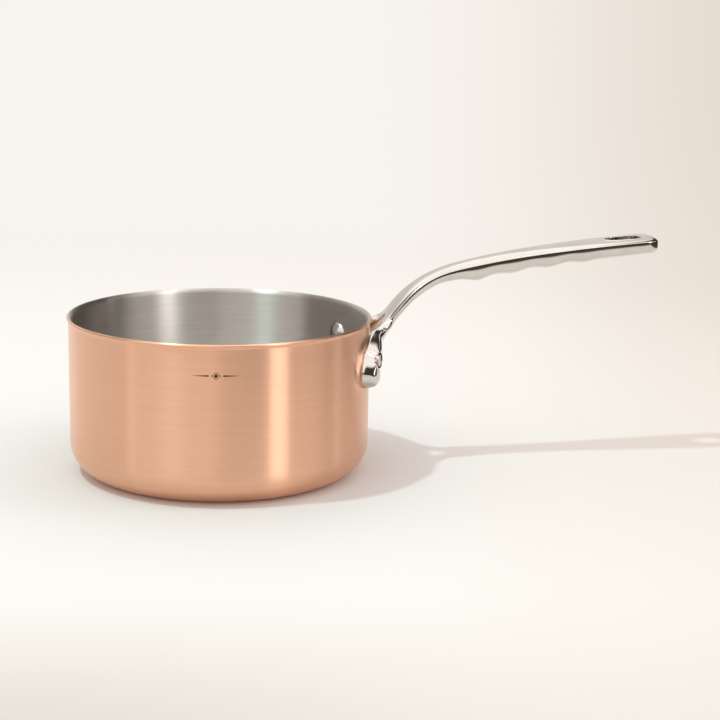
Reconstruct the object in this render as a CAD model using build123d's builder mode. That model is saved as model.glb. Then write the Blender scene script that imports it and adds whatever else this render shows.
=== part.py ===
"""Copper saucepan: a copper body lined with steel, and a cast steel handle on two rivets.

Millimetres, +Z up. The origin is the centre of the base, on the plane the pan stands on.
The handle points along +X, and its two feet hold the wall at equal angles either side of it.
"""

from build123d import *
import math
import os

# --- Pan body -------------------------------------------------------------------------------
PAN_RADIUS = 100.0          # outside of the straight wall
PAN_HEIGHT = 105.0          # to the top of the rim
BASE_CORNER_RADIUS = 21.0   # outside radius between base and wall
SHEET_THICKNESS = 2.0       # copper and lining together
LINING_THICKNESS = 0.3      # steel bonded to the inside of the copper
COPPER_THICKNESS = SHEET_THICKNESS - LINING_THICKNESS
LIP_BEND_RADIUS = 2.5       # outside of the bend that turns the rim outwards
LIP_ANGLE = 45.0            # how far the sheet is turned out

# --- Rivets, one in each foot -----------------------------------------------------------------
RIVET_ANGLE = 25.5          # either side of the handle, about the pan's axis
RIVET_HEIGHT = 81.0
SHANK_RADIUS = 4.0
HEAD_RADIUS = 8.2
HEAD_RISE = 4.2             # of the dome above the lining
HEAD_EDGE = 0.6             # straight edge of the head below the dome
RIVET_END_RECESS = 0.25     # the flush outer end lies this far below the face of the foot

# --- Feet and legs of the handle ----------------------------------------------------------------
FOOT_THICKNESS = 10.0
FOOT_WIDTH = 18.4
FOOT_BOTTOM = 62.0
FOOT_TOP = 88.0
FOOT_ROOT = 4.0             # how deep the foot is drawn before the wall is cut out of it
LEG_WIDTH = 11.0
LEG_THICKNESS = 6.8
ARM_WIDTH = 12.0            # where a leg runs round the wall to its foot
ARM_THICKNESS = 8.0

# --- Grip ---------------------------------------------------------------------------------------
CROWN = [
    (113.0, 103.9), (118.0, 110.0), (124.0, 116.8), (131.0, 123.1), (140.0, 129.1),
    (151.0, 134.1), (174.0, 140.6), (224.0, 148.4), (302.7, 155.3),
]
CROTCH_X = CROWN[0][0]
TIP_X = CROWN[-1][0]
CROTCH_WIDTH = 26.0         # where the two legs part
CROTCH_THICKNESS = 7.2
CROTCH_END_X = 140.0        # from here the neck has its own width and thickness
NECK_WIDTH = 21.0
TAIL_WIDTH = 35.5
NECK_END_X = 150.0          # the handle widens from here
TAIL_START_X = 285.0        # to here
NECK_THICKNESS = 8.6
PALM_THICKNESS = 13.8
TAIL_THICKNESS = 11.2
PALM_START_X = 144.0        # the handle thickens from here
PALM_END_X = 175.0          # to here
WAVE_HEIGHT = 0.8           # finger waves under the grip
WAVE_PITCH = 25.7
WAVE_FIRST_X = 173.0
WAVE_LAST_X = 262.0
GRIP_SECTIONS = 36
SECTION_POWER = 2.5         # 2 is an ellipse, and more is nearer a rectangle
SECTION_POINTS = 20
TAIL_CORNER_RADIUS = 10.0

# --- Hanging hole ---------------------------------------------------------------------------------
HOLE_START_X = 267.0
HOLE_LENGTH = 26.0
HOLE_WIDTH = 15.0

REACH = 400.0               # longer than anything that is cut

os.makedirs("parts", exist_ok=True)


def sheet_outline(depth):
    """Runs along the sheet at a depth below its outside: the base, the corner, the wall and the lip."""
    corner = BASE_CORNER_RADIUS - depth
    bend = LIP_BEND_RADIUS + depth
    base_centre = PAN_RADIUS - BASE_CORNER_RADIUS
    bend_x = PAN_RADIUS + LIP_BEND_RADIUS
    angle = math.radians(LIP_ANGLE)
    wall_x = PAN_RADIUS - depth
    return {
        "axis": (0, depth),
        "base": (base_centre, depth),
        "corner": (
            base_centre + corner * math.sin(math.pi / 4),
            BASE_CORNER_RADIUS - corner * math.cos(math.pi / 4),
        ),
        "wall": (wall_x, BASE_CORNER_RADIUS),
        "bend": (wall_x, WALL_TOP),
        "turn": (
            bend_x - bend * math.cos(angle / 2),
            WALL_TOP + bend * math.sin(angle / 2),
        ),
        "lip": (bend_x - bend * math.cos(angle), WALL_TOP + bend * math.sin(angle)),
    }


def draw_outline(points):
    """Draws one run of the sheet inside the BuildLine that is open."""
    Line(points["axis"], points["base"])
    ThreePointArc(points["base"], points["corner"], points["wall"])
    Line(points["wall"], points["bend"])
    ThreePointArc(points["bend"], points["turn"], points["lip"])


# The rim is a half round on the sheet's turned edge, and its crown is at PAN_HEIGHT.
HALF_SHEET = SHEET_THICKNESS / 2
RIM_RISE = (LIP_BEND_RADIUS + HALF_SHEET) * math.sin(math.radians(LIP_ANGLE)) + HALF_SHEET
WALL_TOP = PAN_HEIGHT - RIM_RISE

outside = sheet_outline(0)
inside = sheet_outline(SHEET_THICKNESS)
bond = sheet_outline(COPPER_THICKNESS)
lip_out = Vector(math.sin(math.radians(LIP_ANGLE)), math.cos(math.radians(LIP_ANGLE)))
rim_centre = (Vector(*outside["lip"]) + Vector(*inside["lip"])) / 2
rim_crown = rim_centre + lip_out * HALF_SHEET
bond_end = Vector(*bond["lip"]) + lip_out * SHEET_THICKNESS


def draw_sheet():
    """Draws the full section of the sheet, copper and lining together."""
    draw_outline(outside)
    ThreePointArc(outside["lip"], (rim_crown.X, rim_crown.Y), inside["lip"])
    draw_outline(inside)
    Line(outside["axis"], inside["axis"])


def draw_room():
    """Draws the outline of everything on the lining's side of the bond."""
    draw_outline(bond)
    end = (bond_end.X, bond_end.Y)
    Polyline(bond["lip"], end, (bond_end.X, REACH), (0, REACH), bond["axis"])


def rivet_plane(side):
    """Stands on the pan's axis at the rivet's height, its Z pointing out through the foot."""
    angle = math.radians(side * RIVET_ANGLE)
    outward = (math.cos(angle), math.sin(angle), 0)
    return Plane(origin=(0, 0, RIVET_HEIGHT), x_dir=(0, 0, 1), z_dir=outward)


# --- Copper body ------------------------------------------------------------------------------
with BuildPart() as copper_body:
    with BuildSketch(Plane.XZ):
        with BuildLine():
            draw_sheet()
        make_face()
        with BuildLine():
            draw_room()
        make_face(mode=Mode.SUBTRACT)
    revolve(axis=Axis.Z)
    for side in (1, -1):
        with BuildSketch(rivet_plane(side)):
            Circle(SHANK_RADIUS)
        extrude(amount=REACH, mode=Mode.SUBTRACT)
copper_body.part.label = "copper_body"
export_step(copper_body.part, "parts/copper_body.step")

# --- Steel lining -----------------------------------------------------------------------------
with BuildPart() as steel_lining:
    with BuildSketch(Plane.XZ):
        with BuildLine():
            draw_sheet()
        make_face()
        with BuildLine():
            draw_room()
        make_face(mode=Mode.INTERSECT)
    revolve(axis=Axis.Z)
    for side in (1, -1):
        with BuildSketch(rivet_plane(side)):
            Circle(SHANK_RADIUS)
        extrude(amount=REACH, mode=Mode.SUBTRACT)
steel_lining.part.label = "steel_lining"
export_step(steel_lining.part, "parts/steel_lining.step")


# --- Handle -------------------------------------------------------------------------------------
def ease(x, start, end):
    """Goes smoothly from 0 at start to 1 at end."""
    t = min(1.0, max(0.0, (x - start) / (end - start)))
    return t * t * (3 - 2 * t)


def grip_width(x):
    neck = CROTCH_WIDTH + (NECK_WIDTH - CROTCH_WIDTH) * ease(x, CROTCH_X, CROTCH_END_X)
    return neck + (TAIL_WIDTH - neck) * ease(x, NECK_END_X, TAIL_START_X)


def wave(x):
    """How far the finger waves stand out below the grip; they fade in and out at its ends."""
    fade = ease(x, PALM_START_X, WAVE_FIRST_X) * ease(x, WAVE_LAST_X, WAVE_LAST_X - WAVE_PITCH / 2)
    return WAVE_HEIGHT * fade * math.cos(2 * math.pi * (x - WAVE_FIRST_X) / WAVE_PITCH)


def grip_thickness(x):
    palm = PALM_THICKNESS + (TAIL_THICKNESS - PALM_THICKNESS) * ease(x, PALM_END_X, TIP_X)
    neck = CROTCH_THICKNESS + (NECK_THICKNESS - CROTCH_THICKNESS) * ease(x, CROTCH_X, CROTCH_END_X)
    plain = neck + (palm - neck) * ease(x, PALM_START_X, PALM_END_X)
    return plain + wave(x)


def oval(width, thickness):
    """Points round an oval that is flatter than an ellipse, for a closed spline."""
    points = []
    for i in range(SECTION_POINTS):
        angle = 2 * math.pi * i / SECTION_POINTS
        c = math.cos(angle)
        s = math.sin(angle)
        u = math.copysign(abs(c) ** (2 / SECTION_POWER), c) * width / 2
        v = math.copysign(abs(s) ** (2 / SECTION_POWER), s) * thickness / 2
        points.append((u, v))
    return points


# The right leg: its centre, the direction its outer face looks, its width and its thickness.
LEG_STATIONS = [
    ((120.7, -6.3, 107.4), (0.75, 0.0, -0.66), LEG_WIDTH, LEG_THICKNESS),
    ((115.8, -7.0, 101.4), (0.78, 0.0, -0.63), LEG_WIDTH, LEG_THICKNESS),
    ((109.8, -11.2, 94.6), (0.85, -0.1, -0.50), LEG_WIDTH, LEG_THICKNESS),
    ((106.0, -17.4, 90.6), (0.93, -0.2, -0.25), LEG_WIDTH, LEG_THICKNESS),
    ((101.4, -28.0, 87.2), (0.96, -0.27, 0.0), ARM_WIDTH, ARM_THICKNESS),
    ((95.4, -41.6, 80.5), (0.91, -0.41, 0.0), ARM_WIDTH, ARM_THICKNESS),
]
leg_line = Spline(*[station[0] for station in LEG_STATIONS], mode=Mode.PRIVATE)

with BuildPart() as leg_right:
    # The leg, lofted through ovals from inside the grip to inside the foot.
    for centre, face, width, thickness in LEG_STATIONS:
        along = leg_line.tangent_at(leg_line.param_at_point(centre))
        across = along.cross(Vector(face))
        with BuildSketch(Plane(origin=centre, x_dir=across, z_dir=along)):
            with BuildLine():
                Spline(*oval(width, thickness), periodic=True)
            make_face()
    loft()
    # The foot, round at its ends.
    with BuildSketch(rivet_plane(-1).offset(PAN_RADIUS - FOOT_ROOT)):
        with Locations(((FOOT_BOTTOM + FOOT_TOP) / 2 - RIVET_HEIGHT, 0)):
            SlotOverall(FOOT_TOP - FOOT_BOTTOM, FOOT_WIDTH)
    extrude(amount=FOOT_ROOT + FOOT_THICKNESS)
    # It is hollow to the wall and drilled for its rivet.
    Cylinder(PAN_RADIUS, REACH, mode=Mode.SUBTRACT)
    with BuildSketch(rivet_plane(-1)):
        Circle(SHANK_RADIUS)
    extrude(amount=REACH, mode=Mode.SUBTRACT)
leg_left = mirror(leg_right.part, about=Plane.XZ)


with BuildLine() as crown_line:
    Spline(*[(x, 0, z) for x, z in CROWN])
crown = crown_line.edge()

with BuildPart() as handle:
    # The grip, lofted through ovals hung below the crown line.
    for i in range(GRIP_SECTIONS):
        fraction = i / (GRIP_SECTIONS - 1)
        point = crown @ fraction
        along = crown % fraction
        up = Vector(-along.Z, 0, along.X)
        thickness = grip_thickness(point.X)
        section = Plane(origin=point - up * (thickness / 2), x_dir=(0, 1, 0), z_dir=along)
        with BuildSketch(section):
            with BuildLine():
                Spline(*oval(grip_width(point.X), thickness), periodic=True)
            make_face()
    loft()
    # Its outline from above, with round corners at the tail.
    with BuildSketch():
        with BuildLine():
            Polyline(
                (0, -TAIL_WIDTH), (TIP_X, -TAIL_WIDTH / 2), (TIP_X, TAIL_WIDTH / 2), (0, TAIL_WIDTH),
                close=True,
            )
        make_face()
        fillet(vertices().group_by(Axis.X)[-1], TAIL_CORNER_RADIUS)
    extrude(amount=REACH, mode=Mode.INTERSECT)
    # The hanging hole.
    with BuildSketch():
        with Locations((HOLE_START_X + HOLE_LENGTH / 2, 0)):
            SlotOverall(HOLE_LENGTH, HOLE_WIDTH)
    extrude(amount=REACH, mode=Mode.SUBTRACT)
    # The two legs.
    add([leg_left, leg_right.part])
handle.part.label = "handle"
export_step(handle.part, "parts/handle.step")


# --- Rivets ---------------------------------------------------------------------------------------
def draw_head():
    """Half the head's section: X is its radius, and Y its distance from the pan's axis."""
    edge = PAN_RADIUS - SHEET_THICKNESS - HEAD_EDGE
    dome = PAN_RADIUS - SHEET_THICKNESS - HEAD_RISE
    dome_radius = (HEAD_RADIUS**2 + (edge - dome) ** 2) / (2 * (edge - dome))
    half_angle = math.asin(HEAD_RADIUS / dome_radius) / 2
    middle_x = dome_radius * math.sin(half_angle)
    middle_y = dome + dome_radius * (1 - math.cos(half_angle))
    ThreePointArc((0, dome), (middle_x, middle_y), (HEAD_RADIUS, edge))
    Polyline((HEAD_RADIUS, edge), (HEAD_RADIUS, PAN_RADIUS), (0, PAN_RADIUS), (0, dome))


# One rivet: a domed head seated on the round wall, and a shank flush with the foot.
right_plane = rivet_plane(-1)
with BuildPart() as rivet_right:
    with BuildSketch(Plane(origin=right_plane.origin, x_dir=(0, 0, 1), z_dir=-right_plane.y_dir)):
        with BuildLine():
            draw_head()
        make_face()
    revolve(axis=Axis(right_plane.origin, right_plane.z_dir))
    Cylinder(PAN_RADIUS - SHEET_THICKNESS, REACH, mode=Mode.INTERSECT)
    with BuildSketch(right_plane.offset(PAN_RADIUS - SHEET_THICKNESS - HEAD_EDGE)):
        Circle(SHANK_RADIUS)
    extrude(amount=SHEET_THICKNESS + HEAD_EDGE + FOOT_THICKNESS - RIVET_END_RECESS)
rivet_right.part.label = "rivet_right"
export_step(rivet_right.part, "parts/rivet_right.step")

with BuildPart() as rivet_left:
    mirror(rivet_right.part, about=Plane.XZ)
rivet_left.part.label = "rivet_left"
export_step(rivet_left.part, "parts/rivet_left.step")
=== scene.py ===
"""Copper saucepan: fine meshes, metals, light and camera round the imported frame.

Metres, in the frame's own axes: +Z up, the base's centre at the origin, the handle along +X.
"""

import math

import bmesh
import bpy
import numpy as np
from mathutils import Matrix, Vector


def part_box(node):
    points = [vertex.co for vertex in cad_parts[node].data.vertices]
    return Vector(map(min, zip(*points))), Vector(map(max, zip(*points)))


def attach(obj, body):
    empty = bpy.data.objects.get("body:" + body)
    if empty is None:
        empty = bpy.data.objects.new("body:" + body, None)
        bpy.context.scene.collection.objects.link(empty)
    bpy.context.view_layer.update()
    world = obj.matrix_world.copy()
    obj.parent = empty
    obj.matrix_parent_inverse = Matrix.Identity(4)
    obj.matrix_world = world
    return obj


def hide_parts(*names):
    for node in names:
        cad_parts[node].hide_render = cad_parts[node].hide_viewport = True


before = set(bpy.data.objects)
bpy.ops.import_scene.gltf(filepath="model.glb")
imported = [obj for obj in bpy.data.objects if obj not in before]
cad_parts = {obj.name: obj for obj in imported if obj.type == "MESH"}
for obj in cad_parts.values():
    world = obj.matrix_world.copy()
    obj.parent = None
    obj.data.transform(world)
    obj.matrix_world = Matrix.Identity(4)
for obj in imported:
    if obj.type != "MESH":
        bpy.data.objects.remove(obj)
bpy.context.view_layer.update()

MM = 0.001

# --- Sizes that come from the frame -------------------------------------------------------------
copper_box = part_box("copper_body")
handle_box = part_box("handle")
rivet_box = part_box("rivet_right")
RIM_HEIGHT = copper_box[1].z
TIP_X = handle_box[1].x
FOOT_BOTTOM = handle_box[0].z
RIVET_HEIGHT = (rivet_box[0].z + rivet_box[1].z) / 2
HEAD_RADIUS = (rivet_box[1].z - rivet_box[0].z) / 2

# --- Pan ------------------------------------------------------------------------------------------
SHEET = 2.0 * MM                # copper and lining together
COPPER = 1.7 * MM
CORNER_RADIUS = 21 * MM         # outside, between base and wall
BEND_RADIUS = 2.5 * MM          # outside of the bend that turns the rim outwards
LIP_ANGLE = math.radians(45)
LIP_OVERHANG = (BEND_RADIUS + SHEET / 2) * (1 - math.cos(LIP_ANGLE))
WALL_RADIUS = copper_box[1].x - LIP_OVERHANG
WALL_TOP = RIM_HEIGHT - (BEND_RADIUS + SHEET / 2) * math.sin(LIP_ANGLE) - SHEET / 2
PAN_COLUMNS = 256
WALL_ROWS = 24

# --- Rivets ---------------------------------------------------------------------------------------
RIVET_ANGLE = math.radians(25.5)
SHANK_RADIUS = 4.0 * MM
HEAD_RISE = 4.2 * MM
HEAD_EDGE = 0.6 * MM
HEAD_ROUND = 0.5 * MM
RIVET_COLUMNS = 64

# --- Handle ---------------------------------------------------------------------------------------
CROWN = [
    (107.0, 95.0), (112.0, 102.0), (118.0, 109.4), (124.0, 116.2), (131.0, 122.5), (140.0, 128.5),
    (151.0, 133.5), (174.0, 139.9), (224.0, 147.7), (302.7, 154.7),
]
CROTCH_X = 113.0
CROTCH_END_X = 140.0            # from here the neck has its own width and thickness
CROTCH_WIDTH, NECK_WIDTH, TAIL_WIDTH = 26.0, 21.0, 35.5
NECK_END_X, TAIL_START_X = 150.0, 285.0
CROTCH_THICKNESS, NECK_THICKNESS, PALM_THICKNESS, TAIL_THICKNESS = 7.2, 8.6, 13.8, 11.2
PALM_START_X, PALM_END_X = 144.0, 175.0
WAVE_HEIGHT, WAVE_PITCH, WAVE_FIRST_X, WAVE_LAST_X = 0.8, 25.7, 173.0, 262.0
SECTION_POWER = 2.5             # 2 is an ellipse, and more is nearer a rectangle
TAIL_POWER = 3.0                # the same at the tail
SECTION_TOP, TAIL_TOP = 0.31, 0.19      # share of the thickness that lies above the widest line
TAIL_CORNER = 10.0              # seen from above
TAIL_EDGE = 3.2                 # seen from the side
HOLE_START_X, HOLE_LENGTH, HOLE_WIDTH = 267.0, 26.0, 15.0
TRUNK_STEP = 5.0
LEG_STEP = 4.0
LEG_FIRST_STEP = 2.2 * LEG_STEP         # longer, because the legs part from each other there
LEG_ROOT, LEG_BLEND = 16.0, 22.0        # where the grip's section starts to turn into the leg's oval

# --- Camera: a little above the rim -------------------------------------------
CAMERA_HEADING = math.radians(12)     # clockwise from +Y, seen from above
CAMERA_DISTANCE = 1.088
CAMERA_SIDE = 0.0938
CAMERA_HEIGHT = 0.3149
CAMERA_PITCH = math.radians(12.41)
CAMERA_ROLL = math.radians(1.13)
CAMERA_LENS = 83.07
FORWARD = Vector((math.sin(CAMERA_HEADING), math.cos(CAMERA_HEADING), 0))
RIGHT = Vector((FORWARD.y, -FORWARD.x, 0))


# --- Mesh helpers -----------------------------------------------------------------------------------
def make_object(name, points, faces):
    """A smooth-shaded mesh object from points and faces, its faces looking outwards."""
    mesh = bpy.data.meshes.new(name)
    mesh.from_pydata([tuple(p) for p in points], [], faces)
    tool = bmesh.new()
    tool.from_mesh(mesh)
    bmesh.ops.recalc_face_normals(tool, faces=tool.faces)
    tool.to_mesh(mesh)
    tool.free()
    mesh.shade_smooth()
    piece = bpy.data.objects.new(name, mesh)
    bpy.context.scene.collection.objects.link(piece)
    return piece


class Build:
    """Collects points and faces while a mesh is drawn."""

    def __init__(self):
        self.points = []
        self.faces = []

    def add(self, points):
        first = len(self.points)
        self.points += [Vector(p) for p in points]
        return list(range(first, len(self.points)))

    def bridge(self, a, b, closed=True):
        """Quads between two rows of the same length."""
        count = len(a) if closed else len(a) - 1
        for i in range(count):
            j = (i + 1) % len(a)
            self.faces.append((a[i], a[j], b[j], b[i]))

    def fan(self, ring, centre):
        for i in range(len(ring)):
            self.faces.append((ring[i], ring[(i + 1) % len(ring)], centre))


class Curve:
    """A natural cubic spline through key rows, over the distance between their first columns."""

    def __init__(self, keys, place=3):
        self.keys = np.array(keys, float)
        steps = np.linalg.norm(np.diff(self.keys[:, :place], axis=0), axis=1)
        self.at = np.concatenate([[0.0], np.cumsum(steps)])
        self.length = self.at[-1]
        count = len(keys)
        matrix = np.eye(count)
        right = np.zeros_like(self.keys)
        slopes = np.diff(self.keys, axis=0) / steps[:, None]
        for i in range(1, count - 1):
            matrix[i, i - 1:i + 2] = steps[i - 1], 2 * (steps[i - 1] + steps[i]), steps[i]
            right[i] = 6 * (slopes[i] - slopes[i - 1])
        self.bend = np.linalg.solve(matrix, right)

    def __call__(self, distance):
        i = int(np.clip(np.searchsorted(self.at, distance) - 1, 0, len(self.at) - 2))
        step = self.at[i + 1] - self.at[i]
        b = (distance - self.at[i]) / step
        a = 1 - b
        curved = (a**3 - a) * self.bend[i] + (b**3 - b) * self.bend[i + 1]
        return a * self.keys[i] + b * self.keys[i + 1] + curved * step**2 / 6

    def tangent(self, distance, span=0.2):
        return Vector((self(distance + span) - self(distance - span))[:3]).normalized()


def ease(x, start, end):
    """Goes smoothly from 0 at start to 1 at end."""
    t = min(1.0, max(0.0, (x - start) / (end - start)))
    return t * t * (3 - 2 * t)


def oval(angle, half_width, half_thickness, power=SECTION_POWER):
    """A point on an oval that is flatter than an ellipse."""
    c, s = math.cos(angle), math.sin(angle)
    u = math.copysign(abs(c) ** (2 / power), c) * half_width
    v = math.copysign(abs(s) ** (2 / power), s) * half_thickness
    return u, v


def oval_height(u, half_width, half_thickness, power=SECTION_POWER):
    """How high the same oval is at a distance u from its middle."""
    share = min(1.0, abs(u) / half_width)
    return half_thickness * (1 - share**power) ** (1 / power)


# --- Pan: copper body and steel lining ----------------------------------------------------------------
def sheet_run(depth):
    """Radius and height along the sheet, at a depth below its outside, from the axis to the lip."""
    corner = CORNER_RADIUS - depth
    middle = WALL_RADIUS - CORNER_RADIUS
    run = [(middle * share, depth) for share in (0.06, 0.2, 0.4, 0.6, 0.8, 0.93)]
    for i in range(17):
        angle = math.pi / 2 * i / 16
        run.append((middle + corner * math.sin(angle), CORNER_RADIUS - corner * math.cos(angle)))
    for i in range(1, WALL_ROWS + 1):
        run.append((WALL_RADIUS - depth, CORNER_RADIUS + (WALL_TOP - CORNER_RADIUS) * i / WALL_ROWS))
    bend = BEND_RADIUS + depth
    for i in range(1, 9):
        angle = LIP_ANGLE * i / 8
        run.append((
            WALL_RADIUS + BEND_RADIUS - bend * math.cos(angle),
            WALL_TOP + bend * math.sin(angle),
        ))
    return run


def rim_run(start, end, count):
    """Radius and height round the half-round rim; an angle of 0 is outside and pi is inside."""
    middle = BEND_RADIUS + SHEET / 2
    centre_r = WALL_RADIUS + BEND_RADIUS - middle * math.cos(LIP_ANGLE)
    centre_z = WALL_TOP + middle * math.sin(LIP_ANGLE)
    run = []
    for i in range(count + 1):
        angle = start + (end - start) * i / count - LIP_ANGLE
        run.append((centre_r + SHEET / 2 * math.cos(angle), centre_z + SHEET / 2 * math.sin(angle)))
    return run


def lathe(name, outer, inner, outer_depth, inner_depth):
    """A closed solid of revolution between two runs, drilled for the rivets."""
    build = Build()
    angles = [2 * math.pi * k / PAN_COLUMNS for k in range(PAN_COLUMNS)]
    rings = []
    for run in (outer, inner):
        rings.append([
            build.add([(r * math.cos(a), r * math.sin(a), z) for a in angles]) for r, z in run
        ])
    for run, ring in ((outer, rings[0]), (inner, rings[1])):
        build.fan(ring[0], build.add([(0, 0, run[0][1])])[0])
        for a, b in zip(ring, ring[1:]):
            build.bridge(a, b)
    build.bridge(rings[0][-1], rings[1][-1])
    for side in (-1, 1):
        drill(build, rings, (WALL_RADIUS - outer_depth, WALL_RADIUS - inner_depth), side)
    return make_object(name, build.points, build.faces)


def drill(build, rings, radii, side):
    """Opens a rivet's hole through two walls whose rows and columns match."""
    column = round(side * RIVET_ANGLE / (2 * math.pi) * PAN_COLUMNS) % PAN_COLUMNS
    heights = [build.points[ring[0]].z for ring in rings[0]]
    row = min(range(len(heights)), key=lambda i: abs(heights[i] - RIVET_HEIGHT) + (i > 60))
    columns = [(column + k) % PAN_COLUMNS for k in range(-3, 4)]
    rows = list(range(row - 2, row + 3))
    border = [(rows[0], c) for c in columns[:-1]] + [(r, columns[-1]) for r in rows[:-1]]
    border += [(rows[-1], c) for c in columns[:0:-1]] + [(r, columns[0]) for r in rows[:0:-1]]
    circles = []
    for ring, radius in zip(rings, radii):
        inside = {ring[r][c] for r in rows[1:-1] for c in columns[1:-1]}
        build.faces = [face for face in build.faces if not inside & set(face)]
        circle = []
        for r, c in border:
            point = build.points[ring[r][c]]
            across = radius * math.atan2(point.y, point.x) - radius * side * RIVET_ANGLE
            turn = math.atan2(point.z - RIVET_HEIGHT, across)
            angle = side * RIVET_ANGLE + SHANK_RADIUS * math.cos(turn) / radius
            z = RIVET_HEIGHT + SHANK_RADIUS * math.sin(turn)
            circle.append((radius * math.cos(angle), radius * math.sin(angle), z))
        circles.append(build.add(circle))
        build.bridge([ring[r][c] for r, c in border], circles[-1])
    build.bridge(*circles)


def make_copper():
    bond_angle = math.acos(1 - 2 * COPPER / SHEET)
    outer = sheet_run(0.0) + rim_run(0.0, bond_angle, 14)[1:]
    return lathe("copper_body_surface", outer, sheet_run(COPPER), 0.0, COPPER)


def make_lining():
    bond_angle = math.acos(1 - 2 * COPPER / SHEET)
    inner = sheet_run(SHEET) + rim_run(math.pi, bond_angle, 6)[1:]
    return lathe("steel_lining_surface", sheet_run(COPPER), inner, COPPER, SHEET)


# --- Handle ---------------------------------------------------------------------------------------------
crown = Curve([(x, 0, z) for x, z in CROWN])
crown_table = np.array([crown(d) for d in np.linspace(0, crown.length, 400)])


def grip_thickness(x):
    """Thickness at x without the finger waves, and the waves' own share."""
    palm = PALM_THICKNESS + (TAIL_THICKNESS - PALM_THICKNESS) * ease(x, PALM_END_X, TIP_X / MM)
    neck = CROTCH_THICKNESS + (NECK_THICKNESS - CROTCH_THICKNESS) * ease(x, CROTCH_X, CROTCH_END_X)
    plain = neck + (palm - neck) * ease(x, PALM_START_X, PALM_END_X)
    fade = ease(x, PALM_START_X, WAVE_FIRST_X) * ease(x, WAVE_LAST_X, WAVE_LAST_X - WAVE_PITCH / 2)
    return plain, WAVE_HEIGHT * fade * math.cos(2 * math.pi * (x - WAVE_FIRST_X) / WAVE_PITCH)


def rounded_off(x, end, radius):
    """How much a round end of this radius takes off each side, at x."""
    over = max(0.0, min(radius, x - (end - radius)))
    return radius - math.sqrt(radius**2 - over**2)


def grip_section(x):
    """Middle of the widest line, upward direction, half width, and thickness above and below it."""
    z = np.interp(x, crown_table[:, 0], crown_table[:, 2])
    slope = np.interp(x, crown_table[:, 0], np.gradient(crown_table[:, 2], crown_table[:, 0]))
    up = Vector((-slope, 0, 1)).normalized()
    width = CROTCH_WIDTH + (NECK_WIDTH - CROTCH_WIDTH) * ease(x, CROTCH_X, CROTCH_END_X)
    width += (TAIL_WIDTH - width) * ease(x, NECK_END_X, TAIL_START_X)
    end = TIP_X / MM
    half_width = width / 2 - rounded_off(x, end, TAIL_CORNER)
    plain, wave = grip_thickness(x)
    above = plain * (SECTION_TOP + (TAIL_TOP - SECTION_TOP) * ease(x, PALM_END_X, TAIL_START_X))
    below = plain + wave - above
    shrink = 1 - rounded_off(x, end, TAIL_EDGE) / (plain / 2)
    centre = Vector((x, 0, z)) - up * plain / 2
    middle = centre + up * (plain / 2 - above) * shrink
    return middle, up, half_width, above * shrink, below * shrink


def section_power(x):
    return SECTION_POWER + (TAIL_POWER - SECTION_POWER) * ease(x, PALM_END_X, TAIL_START_X)


def grip_point(x, angle):
    middle, up, half_width, above, below = grip_section(x)
    thickness = above if math.sin(angle) > 0 else below
    u, v = oval(angle, half_width, thickness, section_power(x))
    return middle + up * v + Vector((0, -u, 0))


def grip_skin(x, u, face):
    """A point on the top (face 1) or the bottom (face -1) of the grip."""
    middle, up, half_width, above, below = grip_section(x)
    thickness = above if face > 0 else below
    height = face * oval_height(u, half_width, thickness, section_power(x))
    return middle + up * height + Vector((0, -u, 0))


# The right leg's keys: middle, the way its outer face looks, half width, half thickness, and how
# far its section has turned from the leg's oval into the foot's, which sits flat on the wall.
FOOT_HALF_WIDTH = 9.2
FOOT_THICKNESS = 10.0


def on_foot(across, z):
    """A middle point of the foot; across is the distance round the wall from the rivet."""
    radius = WALL_RADIUS / MM + FOOT_THICKNESS / 2
    angle = across / radius - RIVET_ANGLE
    middle = (radius * math.cos(angle), radius * math.sin(angle), z)
    return middle, (math.cos(angle), math.sin(angle), 0)


def leg_key(middle, face, half_width, half_thickness, seat):
    return (*middle, *face, half_width, half_thickness, seat)


FOOT_END_Z = FOOT_BOTTOM / MM + FOOT_HALF_WIDTH
leg = Curve([
    leg_key((126.6, -5.4, 113.4), (0.70, 0.0, -0.71), 5.4, 3.7, 0.0),
    leg_key((120.7, -6.0, 106.8), (0.75, 0.0, -0.66), 5.8, 3.6, 0.0),
    leg_key((115.8, -7.0, 100.8), (0.78, 0.0, -0.63), 5.9, 3.6, 0.0),
    leg_key((109.8, -11.2, 94.6), (0.85, -0.1, -0.50), 5.6, 3.6, 0.05),
    leg_key((106.0, -17.4, 90.8), (0.93, -0.2, -0.25), 5.6, 3.7, 0.3),
    leg_key(*on_foot(19.0, 88.3), 5.9, 4.2, 0.85),
    leg_key(*on_foot(9.0, 84.0), 7.2, 4.8, 1.0),
    leg_key(*on_foot(2.0, 78.0), 8.7, 5.0, 1.0),
    leg_key(*on_foot(0.0, FOOT_END_Z), FOOT_HALF_WIDTH, 5.0, 1.0),
])

# The foot's section: share of the half width, and share of the thickness above the wall.
FOOT_BACK = [(-1.0, 0.0), (-0.55, 0.0), (0.0, 0.0), (0.55, 0.0), (1.0, 0.0)]
FOOT_SIDE = (0.94, 0.36)
FOOT_SHOULDER = (0.77, 0.79)
FOOT_FRONT = [FOOT_SHOULDER, (0.45, 0.96), (0.0, 1.0), (-0.45, 0.96), (-0.77, 0.79)]
FOOT_SECTION = FOOT_BACK + [FOOT_SIDE] + FOOT_FRONT + [(-0.94, 0.36)]
LEG_ANGLES = [math.radians(150 - 30 * i) for i in range(12)]


def leg_section(distance):
    key = leg(min(distance, leg.length))
    along = leg.tangent(min(distance, leg.length - 0.2))
    face = Vector(key[3:6])
    face = (face - along * face.dot(along)).normalized()
    middle = Vector(key[:3]) + along * max(0.0, distance - leg.length)
    return middle, face, along.cross(face), key[6], key[7], min(1.0, max(0.0, key[8]))


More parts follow.
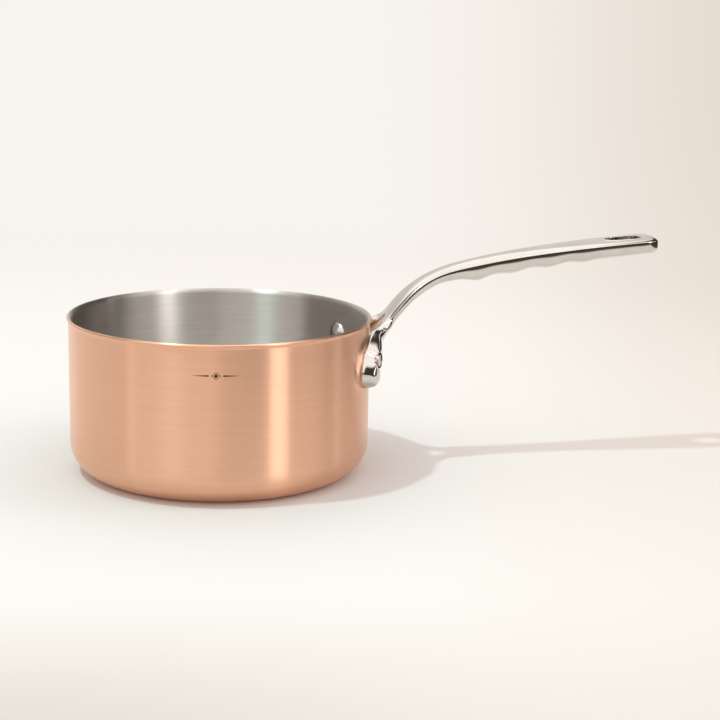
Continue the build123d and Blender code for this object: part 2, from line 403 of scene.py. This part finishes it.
def leg_place(distance, u, v):
    """A point of the leg; v is positive towards the pan, where the foot's back follows the wall."""
    middle, face, across, _, half_thickness, seat = leg_section(distance)
    point = middle + across * u - face * v
    flat = math.hypot(point.x, point.y)
    radius = WALL_RADIUS / MM + half_thickness - v
    reach = 1 + (radius / flat - 1) * seat
    return Vector((point.x * reach, point.y * reach, point.z))


def leg_point(distance, i):
    """Point i of the 12 round the leg's section."""
    _, _, _, half_width, half_thickness, seat = leg_section(distance)
    u, v = oval(LEG_ANGLES[i], half_width, half_thickness)
    top = 0.5 - (0.5 - SECTION_TOP) * (1 - ease(distance, LEG_ROOT, LEG_ROOT + LEG_BLEND))
    v = 2 * v * (top if v > 0 else 1 - top) + (1 - 2 * top) * half_thickness
    share, height = FOOT_SECTION[i]
    u += (share * half_width - u) * seat
    v += ((1 - 2 * height) * half_thickness - v) * seat
    return leg_place(distance, u, v)


def foot_end(share, drop, height):
    """A point of the foot's round end, in shares of its half width and its thickness."""
    _, _, _, half_width, half_thickness, _ = leg_section(leg.length)
    return leg_place(leg.length + drop * half_width, share * half_width, (1 - 2 * height) * half_thickness)


def leg_coordinates(point):
    """How far along the leg a point is, and how far across."""
    table = [(Vector(leg(d)[:3]) - point).length for d in np.linspace(0, leg.length, 800)]
    distance = float(np.argmin(table)) * leg.length / 799
    middle, _, across, _, _, _ = leg_section(distance)
    return distance, across.dot(point - middle)


def handle_cage():
    """The points that the handle's surface goes through, and their faces."""
    build = Build()
    # The grip, from the crotch to the tail: 20 points round each section.
    end = TIP_X / MM
    count = round((HOLE_START_X - CROTCH_X) / TRUNK_STEP)
    stations = [CROTCH_X + (HOLE_START_X - CROTCH_X) * i / count for i in range(count)]
    hole_first = len(stations)
    hole_radius = HOLE_WIDTH / 2
    hole_end = HOLE_START_X + HOLE_LENGTH
    stations += [HOLE_START_X + 1.0, HOLE_START_X + hole_radius]
    stations += [(HOLE_START_X + hole_end) / 2]
    stations += [hole_end - hole_radius, hole_end - 1.0]
    hole_last = len(stations) - 1
    stations += [end - share for share in (6.5, 3.6, 1.7, 0.5, 0.0)]
    angles = [math.radians(162 - 18 * j) for j in range(20)]
    rings = [build.add([grip_point(x, a) for a in angles]) for x in stations]
    for a, b in zip(rings, rings[1:]):
        build.bridge(a, b)
    # The tail's end: one row of points across its middle.
    last = rings[-1]
    middle_row = [last[19]]
    for j in range(1, 8):
        top, bottom = build.points[last[j]], build.points[last[18 - j]]
        middle_row += build.add([(top + bottom) / 2 + Vector((0.15, 0, 0))])
    middle_row.append(last[9])
    build.bridge(last[0:9], middle_row, closed=False)
    build.bridge(middle_row, last[18:9:-1], closed=False)
    # The hanging hole, through the three middle columns.
    loops = []
    for face, columns in ((1, (3, 4, 5)), (-1, (15, 14, 13))):
        outline = [(hole_first, columns[1]), (hole_first, columns[2])]
        outline += [(k, columns[2]) for k in range(hole_first + 1, hole_last)]
        outline += [(hole_last, columns[2]), (hole_last, columns[1]), (hole_last, columns[0])]
        outline += [(k, columns[0]) for k in range(hole_last - 1, hole_first, -1)]
        outline += [(hole_first, columns[0])]
        inside = {rings[k][columns[1]] for k in range(hole_first + 1, hole_last)}
        build.faces = [f for f in build.faces if not inside & set(f)]
        slot = slot_outline()
        loop = [rings[k][j] for k, j in outline]
        for index, (x, u) in zip(loop, slot):
            build.points[index] = grip_skin(x, u, face)
        edge = 1.1
        lowered = []
        for x, u in slot_outline(-edge * 0.8):
            _, up, _, _, _ = grip_section(x)
            lowered.append(grip_skin(x, u, face) - up * face * edge)
        loops.append(loop)
        loops.append(build.add(lowered))
        build.bridge(loops[-2], loops[-1])
    build.bridge(loops[1], loops[3])
    # The two legs, 12 points round each section.
    crotch = (build.points[rings[0][4]] + build.points[rings[0][14]]) / 2
    centre = build.add([crotch + Vector((1.0, 0, 0.6))])[0]
    right = rings[0][4:15] + [centre]
    left = [rings[0][j] for j in (4, 3, 2, 1, 0, 19, 18, 17, 16, 15, 14)] + [centre]
    for start, mirror in ((right, 1), (left, -1)):
        add_leg(build, start, mirror)
    return build


def slot_outline(offset=0.0):
    """The hanging hole's outline as (x, u), from the end nearer the pan and round by the right."""
    radius = HOLE_WIDTH / 2 + offset
    first = HOLE_START_X + HOLE_WIDTH / 2
    last = HOLE_START_X + HOLE_LENGTH - HOLE_WIDTH / 2
    turn = math.sqrt(0.5) * radius
    side = [(first - turn, turn), (first, radius), ((first + last) / 2, radius), (last, radius)]
    side += [(last + turn, turn)]
    outline = [(first - radius, 0.0)] + side + [(last + radius, 0.0)]
    return outline + [(x, -u) for x, u in reversed(side)]


def add_leg(build, start, mirror):
    """One leg and its foot; start is the half of the grip's first section that it grows from."""
    flip = Vector((1, mirror, 1))

    def add(points):
        return build.add([Vector(p) * flip for p in points])

    first = leg_coordinates(Vector(grip_section(CROTCH_X)[0]))[0] + LEG_FIRST_STEP
    radius = WALL_RADIUS / MM + FOOT_THICKNESS / 2
    across, inward = radius * math.sin(RIVET_ANGLE), radius * math.cos(RIVET_ANGLE)
    rivet_middle = Vector((inward, -across, RIVET_HEIGHT / MM))
    rivet, aside = leg_coordinates(rivet_middle)
    above = rivet - 8.0
    steps = round((above - first) / LEG_STEP)
    stations = [first + (above - first) * i / steps for i in range(steps + 1)]
    hole = len(stations) + 1
    stations += [rivet - 3.6, rivet, rivet + 3.6]
    below = leg.length - (rivet + 3.6)
    stations += [rivet + 3.6 + below * share for share in (0.5, 1.0)]
    rings = [start] + [add([leg_point(d, i) for i in range(12)]) for d in stations]
    rings += foot_rings(add)
    for a, b in zip(rings, rings[1:]):
        build.bridge(a, b)
    # The bottom of the foot, between its back and its front.
    last = rings[-1]
    share, height = FOOT_SIDE
    arc = [math.radians(a) for a in (110, 90, 70)]
    middle_row = [last[11]]
    middle_row += add([foot_end(share * math.cos(a), share * math.sin(a), height) for a in arc])
    middle_row.append(last[5])
    build.bridge(last[0:5], middle_row, closed=False)
    build.bridge(middle_row, last[10:5:-1], closed=False)
    open_rivet_hole(build, rings, hole, rivet, aside, flip)


def foot_rings(add):
    """Two rings round the foot's end; the last one's back and front rows follow the round edge."""
    turn = math.radians(26)
    rings = [add([
        foot_end(u * math.cos(turn), max(abs(u), 0.7 if h > 0.5 else 0.95) * math.sin(turn), h)
        for u, h in FOOT_SECTION
    ])]
    side, side_height = FOOT_SIDE
    front, front_height = FOOT_SHOULDER
    fan = [math.radians(a) for a in (132, 111, 90, 69, 48)]
    points = [foot_end(math.cos(a), math.sin(a), 0.0) for a in fan]
    points.append(foot_end(side * math.cos(fan[4]), side * math.sin(fan[4]), side_height))
    points += [foot_end(front * math.cos(a), front * math.sin(a), front_height) for a in fan[::-1]]
    points.append(foot_end(side * math.cos(fan[0]), side * math.sin(fan[0]), side_height))
    rings.append(add(points))
    return rings


def open_rivet_hole(build, rings, hole, rivet, aside, flip):
    """Makes the eight points round the rivet a circle on each face, and joins the two."""
    loops = []
    for front, columns in ((True, (9, 8, 7)), (False, (1, 2, 3))):
        inside = {rings[hole + 1][columns[1]]}
        build.faces = [f for f in build.faces if not inside & set(f)]
        around = [(hole, columns[1]), (hole, columns[2]), (hole + 1, columns[2])]
        around += [(hole + 2, columns[2]), (hole + 2, columns[1]), (hole + 2, columns[0])]
        around += [(hole + 1, columns[0]), (hole, columns[0])]
        loop = [rings[k][j] for k, j in around]
        inner = []
        for i, index in enumerate(loop):
            turn = math.pi / 4 * i
            for radius, depth in ((4.5, 0.0), (4.12, 0.35)):
                u = aside + radius * math.sin(turn)
                _, _, _, half_width, half_thickness, _ = leg_section(rivet)
                rise = 2 * (1 - 0.2 * (u / half_width) ** 2) * half_thickness - depth
                v = half_thickness - (rise if front else depth)
                place = leg_place(rivet - radius * math.cos(turn), u, v) * flip
                if depth:
                    inner.append(place)
                else:
                    build.points[index] = place
        loops += [loop, build.add(inner)]
        build.bridge(loops[-2], loops[-1])
    build.bridge(loops[1], loops[3])


def make_handle():
    build = handle_cage()
    targets = [p * MM for p in build.points]
    piece = make_object("handle_casting", targets, build.faces)
    smooth = piece.modifiers.new("smooth", "SUBSURF")
    smooth.levels = smooth.render_levels = 3
    settle(piece, targets, rounds=3)
    return piece


def settle(piece, targets, rounds):
    """Moves the cage until the smoothed surface goes through the target points."""
    goal = np.array(targets)
    cage = goal.copy()
    for _ in range(rounds):
        depsgraph = bpy.context.evaluated_depsgraph_get()
        depsgraph.update()
        shown = piece.evaluated_get(depsgraph).to_mesh()
        reached = np.zeros(len(shown.vertices) * 3)
        shown.vertices.foreach_get("co", reached)
        cage += goal - reached.reshape(-1, 3)[:len(goal)]
        piece.data.vertices.foreach_set("co", cage.ravel())
        piece.data.update()


# --- Rivets ---------------------------------------------------------------------------------------------
def make_rivet(name, side):
    """A domed head that sits on the lining, and a shank that ends flush with the foot."""
    inner_wall = WALL_RADIUS - SHEET
    edge = inner_wall - HEAD_EDGE
    dome = inner_wall - HEAD_RISE
    end = WALL_RADIUS + FOOT_THICKNESS * MM
    rise = edge - dome
    dome_radius = (HEAD_RADIUS**2 + rise**2) / (2 * rise)
    profile = []
    for i in range(1, 13):
        r = HEAD_RADIUS * i / 13
        profile.append((r, dome + dome_radius - math.sqrt(dome_radius**2 - r**2), False))
    profile += [
        (HEAD_RADIUS - HEAD_ROUND, edge - HEAD_ROUND * 0.75, False),
        (HEAD_RADIUS - HEAD_ROUND * 0.25, edge - HEAD_ROUND * 0.2, False),
        (HEAD_RADIUS, edge + HEAD_ROUND * 0.4, False),
        (HEAD_RADIUS, inner_wall, True),
        (SHANK_RADIUS, inner_wall, True),
        (SHANK_RADIUS, inner_wall + SHEET, False),
        (SHANK_RADIUS, end - 0.6 * MM, False),
        (SHANK_RADIUS, end - 0.35 * MM, False),
        (SHANK_RADIUS - 0.12 * MM, end - 0.12 * MM, False),
        (SHANK_RADIUS - 0.4 * MM, end - 0.02 * MM, False),
        (SHANK_RADIUS * 0.5, end + 0.05 * MM, False),
    ]
    outward = Vector((math.cos(RIVET_ANGLE), side * math.sin(RIVET_ANGLE), 0))
    across = Vector((-outward.y, outward.x, 0))
    foot = Vector((0, 0, RIVET_HEIGHT))
    build = Build()
    rings = []
    for r, d, seated in profile:
        ring = []
        for k in range(RIVET_COLUMNS):
            turn = 2 * math.pi * k / RIVET_COLUMNS
            u, v = r * math.cos(turn), r * math.sin(turn)
            reach = math.sqrt(d**2 - u**2) if seated else d
            ring.append(foot + outward * reach + across * u + Vector((0, 0, v)))
        rings.append(build.add(ring))
    for a, b in zip(rings, rings[1:]):
        build.bridge(a, b)
    build.fan(rings[0], build.add([foot + outward * dome])[0])
    build.fan(rings[-1], build.add([foot + outward * (end + 0.06 * MM)])[0])
    return make_object(name, build.points, build.faces)


# --- Shader helpers -----------------------------------------------------------------------------------
class Graph:
    """Adds nodes to one shader tree. Inputs may be numbers, colours or another node's output."""

    def __init__(self, tree):
        self.tree = tree
        tree.nodes.clear()

    def node(self, kind, inputs=None, **settings):
        node = self.tree.nodes.new("ShaderNode" + kind)
        for name, value in settings.items():
            setattr(node, name, value)
        for key, value in (inputs or {}).items():
            if isinstance(value, bpy.types.NodeSocket):
                self.tree.links.new(value, node.inputs[key])
            else:
                node.inputs[key].default_value = value
        return node

    def math(self, operation, *values):
        return self.node("Math", dict(enumerate(values)), operation=operation).outputs[0]

    def dot(self, vector, direction):
        node = self.node("VectorMath", {0: vector, 1: direction}, operation="DOT_PRODUCT")
        return node.outputs["Value"]

    def ramp(self, value, start, end, low=0.0, high=1.0):
        """Goes smoothly from low at start to high at end."""
        inputs = {"Value": value, "From Min": start, "From Max": end, "To Min": low, "To Max": high}
        return self.node("MapRange", inputs, interpolation_type="SMOOTHSTEP").outputs["Result"]

    def band(self, value, centre, half, soft):
        """1 within half of the centre, and 0 beyond that by more than soft."""
        away = self.math("ABSOLUTE", self.math("SUBTRACT", value, centre))
        return self.ramp(away, half, half + soft, 1.0, 0.0)

    def mix(self, factor, a, b):
        node = self.node("Mix", {0: factor, 6: a, 7: b}, data_type="RGBA")
        return node.outputs[2]

    def multiply(self, a, b):
        node = self.node("Mix", {0: 1.0, 6: a, 7: b}, data_type="RGBA", blend_type="MULTIPLY")
        return node.outputs[2]


def new_material(name):
    material = bpy.data.materials.new(name)
    material.use_nodes = True
    return material, Graph(material.node_tree)


def colour(r, g, b):
    return (r, g, b, 1.0)


def lathe_grain(g, along, fine):
    """Fine lines round the pan's axis: long along the circle, close together across it."""
    place = g.node("TexCoord").outputs["Object"]
    parts = g.node("SeparateXYZ", {0: place})
    x, y, z = parts.outputs
    radius = g.math("SQRT", g.math("ADD", g.math("MULTIPLY", x, x), g.math("MULTIPLY", y, y)))
    cosine, sine = g.math("DIVIDE", x, radius), g.math("DIVIDE", y, radius)
    vector = g.node("CombineXYZ", {
        0: g.math("MULTIPLY", cosine, along),
        1: g.math("MULTIPLY", sine, along),
        2: g.math("MULTIPLY", z, fine),
    }).outputs[0]
    return vector, g.math("MULTIPLY", radius, fine)


def circular_noise(g, along, fine, detail=3.0, roughness=0.6):
    vector, w = lathe_grain(g, along, fine)
    inputs = {"Vector": vector, "W": w, "Scale": 1.0, "Detail": detail, "Roughness": roughness}
    return g.node("TexNoise", inputs, noise_dimensions="4D").outputs["Fac"]


def brushed_metal(name, light, dark, roughness, anisotropy, depth, mark=None):
    """Metal turned on a lathe: its grain runs round the axis and smears reflections across it."""
    material, g = new_material(name)
    grain = circular_noise(g, 2.0, 2600.0)
    lines = circular_noise(g, 1.2, 420.0, 4.0, 0.7)
    tone = g.math("MULTIPLY_ADD", lines, 0.7, g.math("MULTIPLY", grain, 0.3))
    base = g.mix(g.ramp(tone, 0.3, 0.7), dark, light)
    if mark:
        base = g.mix(mark(g), base, colour(0.075, 0.022, 0.012))
    gloss = g.math("MULTIPLY_ADD", g.math("SUBTRACT", lines, 0.5), 0.06, roughness)
    bump = g.node("Bump", {"Height": grain, "Strength": 1.0, "Distance": depth}).outputs[0]
    tangent = g.node("Tangent", direction_type="RADIAL", axis="Z").outputs[0]
    shader = g.node("BsdfPrincipled", {
        "Base Color": base,
        "Metallic": 1.0,
        "Roughness": gloss,
        "Anisotropic": anisotropy,
        "Anisotropic Rotation": 0.25,
        "Normal": bump,
        "Tangent": tangent,
    })
    output = g.node("OutputMaterial")
    g.tree.links.new(shader.outputs[0], output.inputs[0])
    return material


MARK_AZIMUTH = -98.5            # degrees round the pan from the handle
MARK_HEIGHT = 85.6


def ornament(g):
    """A small printed lozenge between two tapering lines, without any lettering."""
    x, y, z = g.node("SeparateXYZ", {0: g.node("TexCoord").outputs["Object"]}).outputs
    angle = g.math("ADD", g.math("ARCTAN2", y, x), math.radians(-MARK_AZIMUTH))
    across = g.math("ABSOLUTE", g.math("MULTIPLY", angle, WALL_RADIUS / MM))
    upward = g.math("ABSOLUTE", g.math("SUBTRACT", g.math("DIVIDE", z, MM), MARK_HEIGHT))
    lozenge = g.math("ADD", g.math("DIVIDE", across, 2.9), g.math("DIVIDE", upward, 2.4))
    solid = g.band(lozenge, 0.0, 0.5, 0.05)
    outline = g.band(lozenge, 0.93, 0.07, 0.05)
    taper = g.math("MULTIPLY", g.math("SUBTRACT", 15.5, across), 0.045)
    thin = g.ramp(g.math("SUBTRACT", upward, taper), 0.08, -0.08)
    line = g.math("MULTIPLY", thin, g.ramp(across, 4.4, 4.6))
    print_mask = g.math("MAXIMUM", g.math("MAXIMUM", solid, outline), line)
    outside = g.math("MULTIPLY_ADD", x, x, g.math("MULTIPLY", y, y))
    on_wall = g.math("GREATER_THAN", outside, (WALL_RADIUS - 0.5 * MM) ** 2)
    return g.math("MULTIPLY", print_mask, on_wall)


def polished_steel(name, light, dark, roughness, waviness):
    """Cast steel polished by hand: nearly a mirror, a little wavy, with faint rubbed patches."""
    material, g = new_material(name)
    place = g.node("TexCoord").outputs["Object"]
    waves = g.node("TexNoise", {"Vector": place, "Scale": 90.0, "Detail": 1.0}).outputs["Fac"]
    rubbed = g.node("TexNoise", {"Vector": place, "Scale": 55.0, "Detail": 6.0}).outputs["Fac"]
    hair = g.node("TexNoise", {"Vector": place, "Scale": 1400.0, "Detail": 2.0}).outputs["Fac"]
    base = g.mix(g.ramp(rubbed, 0.35, 0.65), dark, light)
    gloss = g.math("MULTIPLY_ADD", g.ramp(rubbed, 0.4, 0.75), 0.05, roughness)
    height = g.math("MULTIPLY_ADD", hair, 0.01, waves)
    bump = g.node("Bump", {"Height": height, "Strength": 1.0, "Distance": waviness}).outputs[0]
    shader = g.node("BsdfPrincipled", {
        "Base Color": base, "Metallic": 1.0, "Roughness": gloss, "Normal": bump,
    })
    output = g.node("OutputMaterial")
    g.tree.links.new(shader.outputs[0], output.inputs[0])
    return material


# --- Studio -------------------------------------------------------------------------------------------
FLOOR_COLOUR = colour(0.935, 0.905, 0.852)
FILL_COLOUR = colour(0.905, 0.855, 0.80)
THROWN_COLOUR = colour(0.05, 0.035, 0.03)
STRIP_AZIMUTH = 49.5            # of the tall light at the front right, seen from the pan


def compass(g, vector):
    """Azimuth of a vector in degrees: 0 is towards the camera, and positive is to its right."""
    toward = g.dot(vector, tuple(-FORWARD))
    side = g.dot(vector, tuple(RIGHT))
    return g.math("MULTIPLY", g.math("ARCTAN2", side, toward), 180 / math.pi)


def studio_reflection(g, direction):
    """What shiny metal sees of the studio in a direction: soft boxes, dark gaps and a pale wall."""
    azimuth = compass(g, direction)
    height = g.dot(direction, (0.0, 0.0, 1.0))
    elevation = g.math("MULTIPLY", g.math("ARCSINE", height), 180 / math.pi)
    dark = colour(0.055, 0.045, 0.038)
    # In front: dark up to a line that is higher at the right, then a white ceiling of soft boxes.
    edge = g.math("MULTIPLY_ADD", g.band(azimuth, 23.0, 14.0, 9.0), 16.0, 12.0)
    lit = g.ramp(g.math("SUBTRACT", elevation, edge), -7.0, 7.0)
    front = g.mix(lit, dark, colour(1.38, 1.33, 1.27))
    # Behind: the pale wall, and brighter overhead.
    back = g.mix(g.ramp(elevation, 16.0, 30.0), colour(0.80, 0.76, 0.70), colour(1.45, 1.40, 1.33))
    room = g.mix(g.ramp(g.math("ABSOLUTE", azimuth), 100.0, 125.0), front, back)
    # At the right dark and at the left dim, and lit only from overhead.
    low = g.ramp(elevation, 62.0, 48.0)
    room = g.mix(g.math("MULTIPLY", g.band(azimuth, 130.0, 36.0, 6.0), low), room, dark)
    left = g.math("MULTIPLY", g.band(azimuth, -98.0, 30.0, 9.0), low)
    room = g.mix(left, room, colour(0.38, 0.35, 0.32))
    # The tall light at the front right, a faint one at the left, and one at the far right.
    for centre, half, soft, strength in (
        (STRIP_AZIMUTH, 6.0, 1.0, 1.0), (-64.0, 2.5, 2.0, 0.22), (104.0, 2.0, 3.0, 0.25)
    ):
        strip = g.math("MULTIPLY", g.band(azimuth, centre, half, soft), g.ramp(elevation, -4.0, 2.0))
        room = g.mix(g.math("MULTIPLY", strip, strength), room, colour(4.2, 4.1, 4.0))
    return room


def make_world():
    """The camera sees a plain pale wall; matt surfaces get an even fill; metal sees the studio."""
    world = bpy.data.worlds.new("studio")
    bpy.context.scene.world = world
    world.use_nodes = True
    g = Graph(world.node_tree)
    direction = g.node("TexCoord").outputs["Generated"]
    path = g.node("LightPath")
    # Light that metal throws on to the floor is dim, so that the floor is dark near the pan.
    thrown = g.math("GREATER_THAN", path.outputs["Diffuse Depth"], 0.5)
    seen = g.mix(thrown, studio_reflection(g, direction), THROWN_COLOUR)
    light = g.mix(path.outputs["Is Glossy Ray"], FILL_COLOUR, seen)
    light = g.mix(path.outputs["Is Camera Ray"], light, g.multiply(FLOOR_COLOUR, falloff(g)))
    background = g.node("Background", {"Color": light, "Strength": 1.0})
    output = g.node("OutputWorld")
    g.tree.links.new(background.outputs[0], output.inputs[0])


FLOOR_SIZE = 60.0
NEAR_FLOOR = 0.55
FAR_FLOOR = 1.3


def make_floor():
    """A pale sweep: lit near the object, and of an even tone further out."""
    mesh = bpy.data.meshes.new("floor")
    half = FLOOR_SIZE / 2
    corners = [(-half, -half, 0), (half, -half, 0), (half, half, 0), (-half, half, 0)]
    mesh.from_pydata(corners, [], [(0, 1, 2, 3)])
    floor = bpy.data.objects.new("floor", mesh)
    bpy.context.scene.collection.objects.link(floor)
    material, g = new_material("paper_sweep")
    place = g.node("NewGeometry").outputs["Position"]
    distance = g.node("VectorMath", {0: place}, operation="LENGTH").outputs["Value"]
    tone = falloff(g)
    paper = g.multiply(colour(0.90, 0.868, 0.862), tone)
    matt = g.node("BsdfDiffuse", {"Color": paper, "Roughness": 0.0})
    even = g.node("Emission", {"Color": g.multiply(FLOOR_COLOUR, tone), "Strength": 1.0})
    shader = g.node("MixShader", {
        0: g.ramp(distance, NEAR_FLOOR, FAR_FLOOR), 1: matt.outputs[0], 2: even.outputs[0],
    })
    # Metal sees the table end not far in front of the object, and a dark room beyond it.
    room = g.node("Emission", {"Color": colour(0.07, 0.055, 0.045), "Strength": 1.0})
    toward, side = g.dot(place, tuple(-FORWARD)), g.dot(place, tuple(RIGHT))
    front_edge = g.math("MULTIPLY", g.ramp(toward, 0.24, 0.40), g.ramp(side, 0.22, 0.34))
    beyond = g.math("MAXIMUM", front_edge, g.ramp(side, 0.60, 0.80))
    beyond = g.math("MULTIPLY", beyond, g.node("LightPath").outputs["Is Glossy Ray"])
    shader = g.node("MixShader", {0: beyond, 1: shader.outputs[0], 2: room.outputs[0]})
    output = g.node("OutputMaterial")
    g.tree.links.new(shader.outputs[0], output.inputs[0])
    mesh.materials.append(material)


def falloff(g):
    """The light falls off a little at the view's top right and at its bottom left."""
    window = g.node("SeparateXYZ", {0: g.node("TexCoord").outputs["Window"]})
    across, upward = window.outputs[0], window.outputs[1]
    right = g.math("MULTIPLY", g.ramp(across, 0.5, 1.1), g.ramp(upward, -0.1, 0.9, 0.15, 1.0))
    low = g.math("MULTIPLY", g.ramp(upward, 0.2, -0.03), g.ramp(across, 0.0, 1.0, 1.0, 0.35))
    tone = g.mix(right, colour(1.0, 1.0, 1.0), colour(0.84, 0.775, 0.73))
    return g.multiply(tone, g.mix(low, colour(1.0, 1.0, 1.0), colour(0.80, 0.76, 0.73)))


def make_lamp(name, place, target, size, power, tint, height=None):
    data = bpy.data.lights.new(name, "AREA")
    data.shape = "RECTANGLE" if height else "DISK"
    data.size = size
    if height:
        data.size_y = height
    data.energy = power
    data.color = tint
    lamp = bpy.data.objects.new(name, data)
    bpy.context.scene.collection.objects.link(lamp)
    lamp.location = place
    lamp.rotation_euler = (Vector(target) - Vector(place)).to_track_quat("-Z", "Y").to_euler()
    return lamp


def make_camera():
    data = bpy.data.cameras.new("camera")
    data.lens = CAMERA_LENS
    camera = bpy.data.objects.new("camera", data)
    bpy.context.scene.collection.objects.link(camera)
    look = FORWARD * math.cos(CAMERA_PITCH) - Vector((0, 0, math.sin(CAMERA_PITCH)))
    up = RIGHT.cross(look)
    turned_right = RIGHT * math.cos(CAMERA_ROLL) + up * math.sin(CAMERA_ROLL)
    turned_up = up * math.cos(CAMERA_ROLL) - RIGHT * math.sin(CAMERA_ROLL)
    place = RIGHT * CAMERA_SIDE - FORWARD * CAMERA_DISTANCE + Vector((0, 0, CAMERA_HEIGHT))
    camera.matrix_world = Matrix((
        (turned_right.x, turned_up.x, -look.x, place.x),
        (turned_right.y, turned_up.y, -look.y, place.y),
        (turned_right.z, turned_up.z, -look.z, place.z),
        (0, 0, 0, 1),
    ))
    bpy.context.scene.camera = camera


# --- The object -------------------------------------------------------------------------------------------
def dress(piece, material, node):
    """Gives a piece its metal, and puts it in place of its CAD node."""
    piece.data.materials.append(material)
    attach(piece, "root")
    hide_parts(node)


copper_metal = brushed_metal(
    "brushed_copper", colour(0.90, 0.53, 0.365), colour(0.85, 0.485, 0.33), 0.30, 0.98, 0.000002, ornament
)
lining_metal = brushed_metal(
    "brushed_steel", colour(0.69, 0.65, 0.615), colour(0.615, 0.58, 0.545), 0.40, 0.99, 0.000002
)
handle_metal = polished_steel(
    "polished_steel", colour(0.68, 0.65, 0.62), colour(0.62, 0.59, 0.56), 0.07, 0.00005
)
rivet_metal = polished_steel(
    "rivet_steel", colour(0.60, 0.58, 0.56), colour(0.50, 0.48, 0.46), 0.20, 0.0001
)

dress(make_copper(), copper_metal, "copper_body")
dress(make_lining(), lining_metal, "steel_lining")
dress(make_handle(), handle_metal, "handle")
dress(make_rivet("rivet_left_turned", 1), rivet_metal, "rivet_left")
dress(make_rivet("rivet_right_turned", -1), rivet_metal, "rivet_right")

make_floor()
make_world()
make_lamp("key", (-0.96, -0.26, 2.37), (0.05, 0, 0.05), 0.12, 17.0, (0.72, 1.0, 0.98))
side_lamp = make_lamp("side", (1.05, -0.25, 0.75), (0, 0, 0), 0.35, 1.6, (1.0, 0.97, 0.93), 0.9)
side_lamp.visible_glossy = False
make_camera()
bpy.context.scene.view_settings.view_transform = "Standard"
